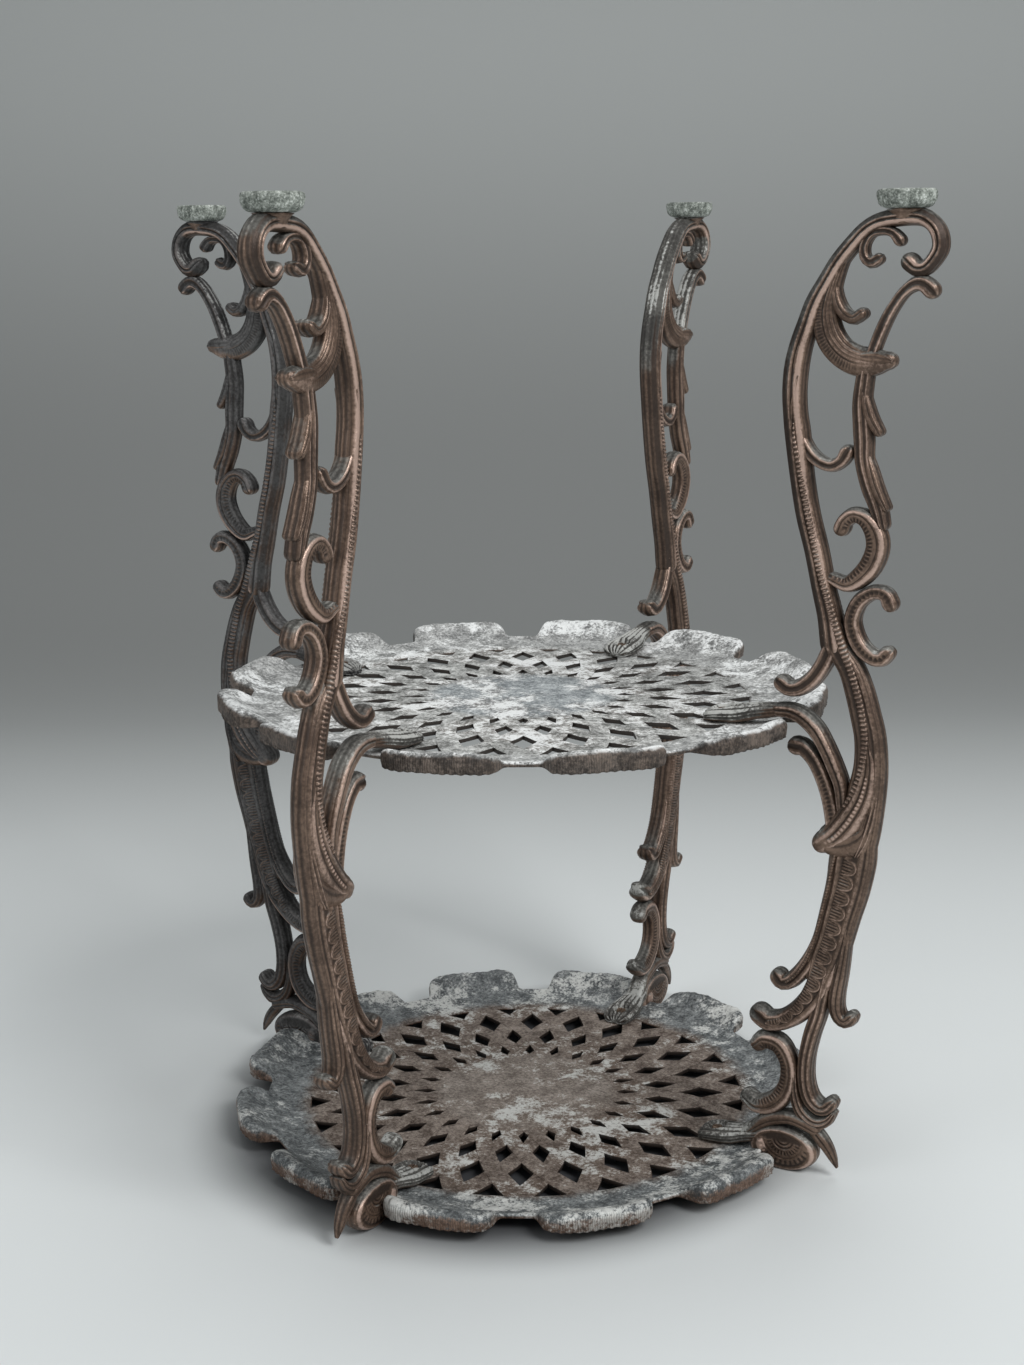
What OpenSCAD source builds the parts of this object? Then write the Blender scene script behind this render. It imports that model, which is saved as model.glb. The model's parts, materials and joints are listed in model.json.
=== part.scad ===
// Two-tier cast plant stand. Units are millimetres, +Z is up and the floor is z = 0.
// Four alike scrolled legs stand on the +X, +Y, -X and -Y axes. Each has two leaf lugs,
// screwed down on a lower and an upper pierced tray, and a fluted pad on its crook.

/* [Stand] */
// Height of the pad tops above the floor
stand_h = 710; // [708:1:716]
// Distance of each pad's centre from the stand's middle line
pad_u = 293; // [290:1:296]
// Thickness of the rails across the plane of a leg
rail_t = 17; // [14:0.5:20]
// Width of the main rail at its middle, which the other bands follow
rail_w = 17; // [15:0.5:18]
// Thickness of the thinner scrolls
scroll_t = 12; // [9:0.5:14]

/* [Trays] */
// Height of the lower tray's plate
lower_z = 10; // [9.5:0.5:12]
// Height of the upper tray's plate
upper_z = 339; // [337:1:341]
// Thickness of a tray's plate
plate_t = 3.5; // [2.5:0.5:3.5]
// Outer radius of the scalloped rim
rim_r = 232.5; // [230:0.5:236]
// Height of the lobes above the plate
lobe_h = 14; // [10:0.5:18]
// Turn of the lower tray's lattice against the legs, in degrees
lower_turn = -2; // [-2:0.5:2]

/* [Pads] */
// Diameter of a pad
pad_d = 40; // [34:1:42]
// Height of a pad
pad_h = 12.5; // [12:0.5:14]
// Diameter of the round spigot on the leg that carries a pad
spigot_d = 8; // [6:0.5:10]
// Clearance of the pad's socket on the spigot, on the radius
spigot_gap = 0.05; // [0.05:0.05:0.15]
// Diameter of the tapped hole in the top of a pad
tap_d = 4.2; // [3.3:0.1:5]
// Depth of the tapped hole
tap_deep = 6; // [5:0.5:6]

/* [Screws] */
// Distance of the screws from the middle line
screw_u = 168; // [167:1:169]
// Screw thread diameter
screw_d = 5; // [4:0.5:5]
// Clearance of the screw's holes in lug and tray, on the radius
screw_gap = 0.25; // [0.15:0.05:0.4]
// Height of the lug's boss above the plate, under the screw's head
boss_h = 6; // [5.5:0.5:7]
// Thickness of a washer
washer_t = 1; // [0.8:0.1:1.2]
// Height of a nut
nut_h = 4; // [3.5:0.1:4]

/* [Hidden] */
pad_z = stand_h - pad_h;
hole_r = screw_d / 2 + screw_gap;
nut_gap = 0.05;
tip_out = 0.5;
screw_len = boss_h + plate_t + washer_t + nut_h + tip_out;
neck_h = 0.72 * pad_h;
spigot_h = 0.5 * spigot_d;
wide = rail_w / 17;
near = screw_u / 168;
thick = plate_t / 3.5;
cut_big = 400;
bronze = [0.42, 0.31, 0.26];
oxide = [0.55, 0.55, 0.53];
pale = [0.60, 0.62, 0.58];
rust = [0.45, 0.28, 0.18];

// Design points are given for the usual sizes. Their heights are stretched between the floor,
// the two trays and the pads, and their distances follow the screws below and the pads above.
function up(z) = z < 10 ? z * lower_z / 10
    : z < 339 ? lower_z + (z - 10) * (upper_z - lower_z) / 329
    : upper_z + (z - 339) * (stand_h - upper_z) / 371;
function out(u, z) = let (k = min(max((z - 339) / 320, 0), 1))
    u * ((1 - k) * near + k * pad_u / 293);
function at(p) = [out(p[0], p[1]), up(p[1]), p[2] * wide];

// Smooth curve through design points [u, z, width]: k steps on each span
function cr(a, b, c, d, t) = 0.5 * (2 * b + (c - a) * t + (2 * a - 5 * b + 4 * c - d) * t * t
                                    + (3 * b - a - 3 * c + d) * t * t * t);
function smooth(p, k) = let (n = len(p)) concat(
    [for (i = [0 : n - 2]) for (j = [0 : k - 1])
        cr(p[max(i - 1, 0)], p[i], p[i + 1], p[min(i + 2, n - 1)], j / k)], [p[n - 1]]);
function unit2(v) = v / norm(v);

// A stroke of varying width along the curve, with a round end at both ends
module stroke(p, k = 3) {
    q = smooth([for (a = p) at(a)], k);
    n = len(q);
    d = [for (i = [0 : n - 1]) let (v = q[min(i + 1, n - 1)] - q[max(i - 1, 0)])
         unit2([v[0], v[1]])];
    a0 = atan2(d[0][1], d[0][0]);
    a1 = atan2(d[n - 1][1], d[n - 1][0]);
    polygon(concat(
        [for (i = [0 : n - 1]) [q[i][0] - d[i][1] * q[i][2] / 2, q[i][1] + d[i][0] * q[i][2] / 2]],
        [for (a = [67.5, 22.5, -22.5, -67.5]) [q[n - 1][0] + cos(a1 + a) * q[n - 1][2] / 2,
                                               q[n - 1][1] + sin(a1 + a) * q[n - 1][2] / 2]],
        [for (i = [n - 1 : -1 : 0])
            [q[i][0] + d[i][1] * q[i][2] / 2, q[i][1] - d[i][0] * q[i][2] / 2]],
        [for (a = [-112.5, -157.5, 157.5, 112.5]) [q[0][0] + cos(a0 + a) * q[0][2] / 2,
                                                   q[0][1] + sin(a0 + a) * q[0][2] / 2]]));
}
module ball(u, z, r) translate([out(u, z), up(z)]) circle(r = r * wide, $fn = 16);

// The outline of the thick rails, from the crook at the top to the foot
module rails_2d() {
    // crook and main rail
    stroke([[304, 659, 12], [312, 664, 10], [317, 672, 11], [316, 681, 11], [311, 688, 11],
            [303, 692, 12], [291, 692, 12], [277, 690, 11], [267, 685, 10], [258, 676, 10],
            [248, 664, 10], [240, 651, 11], [232, 637, 12], [227, 623, 13], [222, 608, 15],
            [219, 593, 16], [218, 577, 17], [219, 562, 17], [221, 548, 18], [225, 519, 16],
            [230, 493, 16], [237, 468, 17], [243, 442, 17], [248, 423, 18], [251, 404, 20]]);
    ball(297, 664, 6);
    // beaded rail, widening to the waist and the lower rail
    stroke([[251, 404, 18], [260, 397, 18], [266, 386, 20], [271, 372, 21], [276, 355, 22],
            [280, 338, 23], [281, 318, 24], [279, 300, 27], [275, 274, 32], [270, 249, 36],
            [267, 228, 33], [262, 207, 31], [257, 186, 30], [252, 170, 30], [247, 158, 28]]);
    // branch to the tray's side
    stroke([[251, 404, 14], [244, 387, 13], [237, 377, 13], [228, 369, 12], [218, 368, 10]]);
    ball(214, 371, 6.5);
    // arm to the upper lug
    stroke([[263, 284, 10], [260, 303, 11], [255, 315, 12], [248, 329, 12], [240, 341, 13],
            [230, 349, 13], [221, 352, 12], [213, 352, 11]]);
    // bands that curl in towards the tray, and the outer curl
    stroke([[253, 159, 24], [244, 140, 19], [232, 125, 16], [220, 116, 15], [206, 113, 14]]);
    ball(201, 117, 8.5);
    stroke([[242, 172, 10], [234, 158, 10], [225, 147, 10], [218, 145, 9]]);
    ball(216, 148, 6.5);
    stroke([[272, 214, 5], [270, 190, 7], [266, 165, 10], [262, 146, 12], [261, 134, 12],
            [264, 126, 10], [270, 126, 8]]);
    ball(273, 128, 5);
    // stem with its curl and the band below it
    stroke([[251, 140, 16], [249, 127, 14], [243, 110, 16], [239, 91, 15], [239, 71, 15],
            [243, 58, 16], [250, 50, 16], [257, 52, 12]]);
    ball(259, 56, 6);
    stroke([[231, 64, 8], [234, 49, 10], [241, 41, 10], [250, 39, 10], [258, 44, 8], [262, 50, 5]]);
    // arm to the lower lug
    stroke([[247, 37, 11], [237, 40, 11], [227, 41, 11], [211, 36, 11], [199, 27, 10], [190, 19, 8]]);
    // shell foot and spike
    translate([out(223.5, 0), 16.2 * wide]) scale([27 / 17.2, 1]) circle(r = 17.2 * wide, $fn = 40);
    stroke([[247, 33, 8], [256, 24, 8], [261, 15.5, 6], [264, 10.5, 2]]);
}

// The outline of the thinner scrolls and leaves
module scrolls_2d() {
    // scroll inside the crook
    stroke([[271, 665, 8], [265, 667, 7], [266, 675, 6], [271, 682, 6], [280, 683, 6], [287, 680, 7]]);
    ball(273, 664, 4.5);
    ball(289, 678, 4.5);
    // wing leaf and its curl
    stroke([[255, 661, 8], [245, 642, 13], [240, 625, 17], [244, 611, 20], [255, 601, 20],
            [268, 596, 17], [279, 596, 11], [287, 595, 4]]);
    stroke([[247, 655, 3], [250, 643, 7], [253, 634, 7], [259, 627, 7], [265, 628, 7]]);
    // upper strut with its ball
    stroke([[310, 648, 10], [303, 650, 10], [294, 644, 8], [286, 633, 8], [280, 621, 9],
            [275, 608, 9], [272, 598, 9]]);
    ball(312, 646, 6.5);
    // lower strut with two small leaves
    stroke([[269, 592, 13], [267, 572, 14], [268, 558, 15], [269, 546, 15], [270, 531, 14],
            [275, 515, 15], [280, 503, 14], [284, 490, 11]]);
    stroke([[266, 586, 4], [270, 572, 8], [275, 560, 8], [282, 550, 4]]);
    stroke([[270, 541, 4], [275, 526, 8], [281, 511, 7], [288, 499, 3]]);
    // crossing curl from the main rail to the strut
    stroke([[223, 550, 9], [229, 538, 8], [237, 529, 8], [247, 528, 8], [255, 533, 8]]);
    ball(257, 539, 6);
    // first and second C-scroll
    stroke([[257, 488, 9], [260, 493, 9], [267, 495, 10], [276, 488, 13], [281, 476, 16],
            [278, 463, 16], [270, 452, 15], [261, 446, 12], [250, 450, 8]]);
    ball(255, 484, 6);
    stroke([[289, 440, 9], [285, 442, 9], [277, 441, 10], [269, 434, 11], [265, 423, 11],
            [266, 413, 11], [272, 403, 12], [280, 395, 12], [288, 396, 9]]);
    ball(291, 435, 6);
    ball(290, 399, 5);
    // bracket curl below the upper lug's arm
    stroke([[256, 266, 10], [254, 278, 9], [252, 292, 9], [247, 306, 9], [240, 319, 10], [231, 327, 10]]);
    ball(226, 328, 6);
    // C-scroll above the foot
    stroke([[203, 97, 12], [209, 99, 15], [220, 95, 15], [226, 83, 13], [226, 70, 13],
            [221, 57, 13], [210, 47, 14], [198, 46, 11], [192, 51, 6]]);
    ball(199, 95, 7);
}

// The wrap leaf round the waist, a little thicker than the rail
module wrap_2d() stroke([[279, 338, 8], [281, 318, 15], [277, 297, 22], [268, 279, 25],
                         [257, 265, 21], [250, 259, 16], [246, 257, 12]]);

module plate_on_edge(t) rotate([90, 0, 0]) linear_extrude(height = t, center = true) children();

// A leaf lug that lies on a tray: side profile cut by the leaf's outline from above
module leaf_lug() intersection() {
    plate_on_edge(30) polygon([
        [154, 0], [181, 0], [190, 2.5], [203, 6], [214, 8], [216, 17], [206, 18], [196, 13.5],
        [186, 9.5], [176, 6.5], [164, 5.2], [157, 4], [154, 2.5]]);
    translate([0, 0, -1]) linear_extrude(height = 24) polygon([
        [154, 3], [154, -3], [156, -7], [161, -11], [168, -13], [178, -13], [188, -12],
        [198, -10], [206, -8.5], [216, -8.5], [216, 8.5], [206, 8.5], [198, 10], [188, 12],
        [178, 13], [168, 13], [161, 11], [156, 7]]);
}
module lug(z0) translate([0, 0, z0]) {
    scale([near, near, boss_h / 6]) leaf_lug();
    translate([screw_u, 0, 0]) cylinder(r = 1.3 * screw_d, h = boss_h, $fn = 24);
}

// One whole leg casting, standing on the +X axis
module leg() difference() {
    union() {
        plate_on_edge(rail_t) rails_2d();
        plate_on_edge(scroll_t) scrolls_2d();
        plate_on_edge(rail_t + 3) wrap_2d();
        lug(lower_z);
        lug(upper_z);
        translate([pad_u, 0, pad_z - neck_h]) {
            cylinder(r = 0.2 * pad_d, h = neck_h, $fn = 32);
            cylinder(r = spigot_d / 2, h = neck_h + spigot_h, $fn = 32);
        }
    }
    for (z0 = [lower_z, upper_z])
        translate([screw_u, 0, z0 - 1]) cylinder(r = hole_r, h = boss_h + 2, $fn = 32);
    // the shell is ground flat on the floor
    translate([0, -50, -20]) cube([cut_big, 100, 20]);
    // nothing of the crook stands above the pad's seat beside the spigot
    translate([pad_u, 0, pad_z]) difference() {
        cylinder(r = 0.75 * pad_d, h = 2 * pad_h, $fn = 32);
        translate([0, 0, -1]) cylinder(r = spigot_d / 2, h = 2 * pad_h + 2, $fn = 32);
    }
}

// The openings of the lattice: rings of diamonds and a ring of triangles
module diamond(r, a, dr, dt) rotate(a) polygon([[r - dr, 0], [r, dt], [r + dr, 0], [r, -dt]]);
module lattice_2d() scale([near, near]) for (i = [0 : 23]) {
    diamond(79, i * 15, 8, 4);
    diamond(107, i * 15 + 7.5, 13, 6.5);
    diamond(140, i * 15, 19, 9.5);
    rotate(i * 15 + 7.5) polygon([[150, 0], [172, 9], [172, -9]]);
}

// Rim section at angle a, as [r, z] above the plate: low in the gaps, raised on the lobes
function lobe(a) = let (f = abs((a % 30) - 15)) f <= 9 ? 1 : f <= 10.1 ? 0.86 : 0;
function rim_at(a) = let (h = lobe(a), o = rim_r / near - 208.5, t = lobe_h / thick - 3.5)
    [for (p = [[173, -1.75], [180, 0], [195, 1 + 0.5 * h], [205, 3 + h],
        [206 + (o - 10) * h, 3.5 + (t - 4.5) * h], [207 + (o - 2) * h, 3.5 + t * h],
        [208.5 + o * h, 2.4 + (t - 1) * h], [208.5 + o * h, 0.5 + 1.5 * h],
        [206.5 + (o - 3) * h, -0.3 + 1.1 * h], [205 + (o - 9) * h, -0.6 + (t - 5) * h],
        [196, -3], [180, -3.5]]) [p[0] * near, p[1] * thick]];
module rim() {
    n = 144;
    m = 12;
    pts = [for (i = [0 : n - 1]) let (a = i * 360 / n, s = rim_at(a))
           for (p = s) [p[0] * cos(a), p[0] * sin(a), p[1]]];
    polyhedron(points = pts, faces = [for (i = [0 : n - 1]) for (j = [0 : m - 1]) for (h = [0, 1])
        let (a = i * m + j, b = i * m + (j + 1) % m, c = ((i + 1) % n) * m + (j + 1) % m,
             d = ((i + 1) % n) * m + j) h == 0 ? [a, c, b] : [a, d, c]]);
}
module tray(z0, turn) translate([0, 0, z0]) difference() {
    rotate(turn) union() {
        translate([0, 0, -plate_t]) linear_extrude(height = plate_t) difference() {
            circle(r = 177 * near, $fn = 144);
            lattice_2d();
        }
        rim();
    }
    for (a = [0 : 90 : 270]) rotate(a) translate([screw_u, 0, -plate_t - 1])
        cylinder(r = hole_r, h = plate_t + 2, $fn = 32);
}

// A fluted pad with a socket below and a tapped hole above
module pad() translate([pad_u, 0, pad_z]) difference() {
    rotate_extrude($fn = 40) scale([pad_d / 40, pad_h / 12.5]) polygon([[0, 0], [14, 0], [18, 1.2],
        [19.6, 3.4], [20, 6], [19.7, 9], [18.8, 11.3], [17, 12.5], [0, 12.5]]);
    for (a = [0 : 15 : 345]) rotate(a) translate([0.5325 * pad_d, 0, -1])
        cylinder(r = 0.0525 * pad_d, h = pad_h + 2, $fn = 12);
    translate([0, 0, -1]) cylinder(r = spigot_d / 2 + spigot_gap, h = 1 + 1.05 * spigot_h, $fn = 32);
    translate([0, 0, pad_h - tap_deep]) cylinder(r = tap_d / 2, h = tap_deep + 1, $fn = 32);
}

// Fasteners of one tray, four of each
module around(r) for (a = [0 : 90 : 270]) rotate(a) translate([r, 0, 0]) children();
module screws(z0) around(screw_u) translate([0, 0, z0 + boss_h]) {
    translate([0, 0, -screw_len]) cylinder(r = screw_d / 2, h = screw_len + 0.5, $fn = 32);
    difference() {
        cylinder(r1 = 0.92 * screw_d, r2 = 0.72 * screw_d, h = 0.56 * screw_d, $fn = 32);
        translate([-screw_d, -0.12 * screw_d, 0.32 * screw_d])
            cube([2 * screw_d, 0.24 * screw_d, screw_d]);
    }
}
module washers(z0) around(screw_u) translate([0, 0, z0 - plate_t - washer_t]) difference() {
    cylinder(r = screw_d, h = washer_t, $fn = 32);
    translate([0, 0, -1]) cylinder(r = hole_r, h = washer_t + 2, $fn = 32);
}
module nuts(z0) around(screw_u) translate([0, 0, z0 - plate_t - washer_t - nut_h]) difference() {
    cylinder(r = 0.92 * screw_d, h = nut_h, $fn = 6);
    translate([0, 0, -1]) cylinder(r = screw_d / 2 + nut_gap, h = nut_h + 2, $fn = 32);
}

module lower_tray() color(oxide) tray(lower_z, lower_turn);
module upper_tray() color(oxide) tray(upper_z, 0);
module leg_right() color(bronze) leg();
module leg_back() color(bronze) rotate(90) leg();
module leg_left() color(bronze) rotate(180) leg();
module leg_front() color(bronze) rotate(270) leg();
module pad_right() color(pale) pad();
module pad_back() color(pale) rotate(90) pad();
module pad_left() color(pale) rotate(180) pad();
module pad_front() color(pale) rotate(270) pad();
module lower_screws() color(rust) screws(lower_z);
module lower_washers() color(rust) washers(lower_z);
module lower_nuts() color(rust) nuts(lower_z);
module upper_screws() color(rust) screws(upper_z);
module upper_washers() color(rust) washers(upper_z);
module upper_nuts() color(rust) nuts(upper_z);

lower_tray();
upper_tray();
leg_right();
leg_back();
leg_left();
leg_front();
pad_right();
pad_back();
pad_left();
pad_front();
lower_screws();
lower_washers();
lower_nuts();
upper_screws();
upper_washers();
upper_nuts();
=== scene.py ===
# %% [markdown]
# # A two-tier cast plant stand
# The real stand is a set of thin metal castings screwed together: four alike legs made of
# scrolls and leaves, two pierced round trays with a scalloped rim, and a fluted pad on top of
# each leg. The solids of the frame give the places and the outlines. Here every casting gets its
# carving and its weathered skin. All shapes are worked out in millimetres and turned into metres
# when a mesh is made.

# %% Load the frame and keep its box
import json

import bpy
import numpy as np
from mathutils import Matrix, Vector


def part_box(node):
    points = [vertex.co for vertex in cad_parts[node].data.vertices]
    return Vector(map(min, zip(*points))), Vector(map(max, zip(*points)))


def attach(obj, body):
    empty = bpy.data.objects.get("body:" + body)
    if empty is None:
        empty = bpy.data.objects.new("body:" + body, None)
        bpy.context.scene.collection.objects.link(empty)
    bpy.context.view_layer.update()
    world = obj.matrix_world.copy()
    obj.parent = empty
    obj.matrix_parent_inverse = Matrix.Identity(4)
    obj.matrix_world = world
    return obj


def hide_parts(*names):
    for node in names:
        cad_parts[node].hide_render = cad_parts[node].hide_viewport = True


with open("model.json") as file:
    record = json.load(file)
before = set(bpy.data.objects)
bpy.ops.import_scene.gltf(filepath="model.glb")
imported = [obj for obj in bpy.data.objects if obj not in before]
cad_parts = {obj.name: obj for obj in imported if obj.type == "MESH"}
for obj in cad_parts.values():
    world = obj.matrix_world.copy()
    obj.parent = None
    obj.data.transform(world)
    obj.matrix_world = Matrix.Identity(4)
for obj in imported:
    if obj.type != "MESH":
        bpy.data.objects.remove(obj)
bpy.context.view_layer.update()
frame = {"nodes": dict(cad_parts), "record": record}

# %% Places that several pieces share, in millimetres
mounts = {mount["name"]: mount for mount in frame["record"]["mounts"]}
LOWER_TOP = round(mounts["lower_shelf"]["pos_m"][2] * 1000, 3)
UPPER_TOP = round(mounts["upper_shelf"]["pos_m"][2] * 1000, 3)
PAD_AT = mounts["top_fixings"]["dims"]["pcd_mm"] / 2
PAD_LOW = round(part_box("pad_right")[0].z * 1000, 3)
FOOT_AT = round(mounts["foot_right"]["pos_m"][0] * 1000, 3)
SCREW_AT = 168
SIDES = ("right", "back", "left", "front")
print("plates at", LOWER_TOP, "and", UPPER_TOP, "pads", PAD_AT, "out and", PAD_LOW, "up")

# %% [markdown]
# ## Writing a material as sums
# A finish is easier to read as a formula than as a drawing of boxes. One small class wraps an
# output socket. Plus, minus and times on it add Math nodes, and `node` adds any other node.

# %% A socket that can be added and multiplied


class Socket:
    """An output of a node tree. Sums and products of sockets and numbers make Math nodes."""

    def __init__(self, tree, out):
        self.tree, self.out = tree, out

    def node(self, kind, settings, values, out=0):
        made = self.tree.nodes.new("ShaderNode" + kind)
        for name, value in settings.items():
            setattr(made, name, value)
        for key, value in values.items():
            if isinstance(value, Socket):
                self.tree.links.new(value.out, made.inputs[key])
            else:
                made.inputs[key].default_value = value
        return Socket(self.tree, made.outputs[out])

    def maths(self, operation, a, b=0.0):
        return self.node("Math", {"operation": operation}, {0: a, 1: b})

    def stored(self, name):
        """The number of that name which the mesh keeps for each of its points."""
        return self.node("Attribute", {"attribute_name": name}, {}, out="Fac")

    def part(self, index):
        """The x, y or z of this vector, for index 0, 1 or 2."""
        return self.node("SeparateXYZ", {}, {0: self}, out=index)

    def off_axis(self, shift=(0.0, 0.0, 0.0)):
        """How far this place, moved by shift, is from the Z axis."""
        flat = self.node("VectorMath", {"operation": "MULTIPLY_ADD"},
                         {0: self, 1: (1.0, 1.0, 0.0), 2: shift})
        return flat.node("VectorMath", {"operation": "LENGTH"}, {0: flat}, out=1)

    def __add__(self, other):
        return self.maths("ADD", self, other)

    def __sub__(self, other):
        return self.maths("SUBTRACT", self, other)

    def __rsub__(self, other):
        return self.maths("SUBTRACT", other, self)

    def __mul__(self, other):
        return self.maths("MULTIPLY", self, other)

    __radd__ = __add__

    def step(self, low, high):
        """0 below low, 1 above high, and smooth between them."""
        return self.node("MapRange", {"interpolation_type": "SMOOTHSTEP"},
                         {0: self, 1: low, 2: high, 3: 0.0, 4: 1.0})

    def noise(self, scale, detail, rough):
        """Noise of about 1 / scale metres a patch, read at this vector."""
        return self.node("TexNoise", {}, {"Vector": self, "Scale": scale, "Detail": detail,
                                          "Roughness": rough})

    def mix(self, a, b):
        """Colour a where this mask is 0 and colour b where it is 1."""
        return self.node("Mix", {"data_type": "RGBA"}, {0: self, 6: a, 7: b}, out=2)


def colour(text):
    """A written colour, such as 5c463c, as the linear values that Blender mixes."""
    c = np.array([int(text[i:i + 2], 16) for i in (0, 2, 4)]) / 255
    return (*np.where(c <= 0.04045, c / 12.92, ((c + 0.055) / 1.055) ** 2.4), 1.0)


def material(name):
    """A new material, its shader node, and its Object coordinates as the socket to start from."""
    made = bpy.data.materials.new(name)
    made.use_nodes = True
    tree = made.node_tree
    place = Socket(tree, None).node("TexCoord", {}, {}, out="Object")
    return made, tree.nodes["Principled BSDF"], place


def dress(shader, metal, base, rough, height, depth):
    """Feeds metal, base colour, roughness and a bump of that height field, depth metres deep."""
    bump = height.node("Bump", {}, {"Height": height, "Strength": 1.0, "Distance": depth})
    shader.inputs["Metallic"].default_value = metal
    for key, value in (("Base Color", base), ("Roughness", rough), ("Normal", bump)):
        if isinstance(value, Socket):
            value.tree.links.new(value.out, shader.inputs[key])
        else:
            shader.inputs[key].default_value = value


print("a written mid grey is", round(float(colour("808080")[0]), 3), "as light")

# %% [markdown]
# ## Brown leg finish
# The legs have a brown finish, rubbed through in places, over bare casting. Its carved grooves
# are painted dark as painted shade, its ridges are rubbed to a coppery tone that is partly a
# painted highlight and is painted paler higher up the leg, and it is grey-black with pale bloom
# wherever rain lies on it. Two numbers that are stored on the mesh steer this: `carve`, how high
# the carving stands, and `sky`, how much a face looks upwards. Shallow reeds run along the edges
# of all bands. They are in the finish too, as a cosine of the depth into the leg's thickness, and
# their grooves get the same painted shade.

# %% Brown leg finish


def leg_finish(name, grey, rind_dark, rind_pale):
    """Brown by carve height, plus grey oxide by sky; grey is how far the oxide has spread.

    The legs stand on the two axes, so the depth into their thickness is the smaller of |x| and |y|,
    and the way out from the middle is the larger. The reeds leave out the lugs, further in.
    """
    made, shader, place = material(name)
    sky = place.stored("sky")
    x, y = (place.maths("ABSOLUTE", place.part(k)) for k in (0, 1))
    deep, reach = place.maths("MINIMUM", x, y), place.maths("MAXIMUM", x, y)
    patch = place.noise(34.0, 4.0, 0.6)
    grain = place.noise(420.0, 4.0, 0.6)
    pits = place.noise(1500.0, 2.0, 0.5)
    reed_pitch = 0.0042
    waves = deep.maths("COSINE", deep * (2 * np.pi / reed_pitch) + patch * 4.0 - 2.0)
    reed = (waves * 0.5 - 0.5) * (1.0 - deep.step(0.0050, 0.0064)) * reach.step(0.200, 0.208)
    carve = place.stored("carve") + reed * 0.5
    tone = (patch * 0.6 + grain * 0.4).step(0.38, 0.62)
    brown = tone.mix(colour("56453a"), colour("806a5b"))
    # painted highlight: the coppery ridges are partly real rubbed wear and partly a painted
    # highlight, and the height term paints the leg paler higher up, as if lit more
    height = place.part(2)
    wear_and_highlight = (carve * 0.8 + grain * 0.5 + patch * 0.5 + height * 0.14).step(0.62, 1.02) * 0.85
    copper_and_highlight = wear_and_highlight.mix(brown, colour("caae9f"))
    # painted shade: the carved grooves and the reeds are painted dark where shade falls in them
    groove = (0.25 - carve - grain * 0.2).step(0.20, 0.95) * 0.82
    dark = groove.mix(copper_and_highlight, colour("2c231e"))
    oxide = (sky * 1.2 + (patch - 0.5) * 1.1 + (grain - 0.5) * 0.4 + grey).step(0.45, 0.95) * 0.9
    rind = (grain * 0.5 + patch * 0.5).step(0.38, 0.64).mix(colour(rind_dark), colour(rind_pale))
    # painted shade: where the oxide lies, its grooves are painted dark too
    aged = oxide.mix(dark, (groove * 0.6).mix(rind, colour("2f2c29")))
    salts = sky + (grain - 0.5) * 2.0 + (patch - 0.5) * 3.2 - groove
    bloom = salts.step(1.10, 1.65) * (0.75 - grey * 0.4)
    base = bloom.mix(aged, colour("c9cac6"))
    relief = grain * 0.6 + pits * 0.4 + reed * 0.9
    dress(shader, 0.5, base, 0.33 + oxide * 0.37 + groove * 0.2, relief, 0.0004)
    return made


brown_legs = leg_finish("leg_bronze", 0.0, "4b4b49", "8b8b86")
grey_leg = leg_finish("leg_bronze_grey", 0.9, "2f3133", "626465")
print("leg finishes:", brown_legs.name, grey_leg.name)

# %% [markdown]
# ## Crusted tray finish
# Both trays are oxidised to a matt crust with white bloom, dark pits and, below, rust. The tone
# goes in rings: centre plate, lattice and gutter differ, so the shader mixes them by the distance
# from the middle. Fine radial hatching runs over the outer faces of the lobes, as fine dark lines
# of painted shade for their grooves and a bump. It is a sine of the angle, and it is only in the
# finish, because real grooves would need millions of faces. The walls of the openings and the
# undersides of the straps are painted near black, partly dark bare metal and partly painted shade.

# %% Crusted tray finish
HATCH_LINES = 820.0


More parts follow.
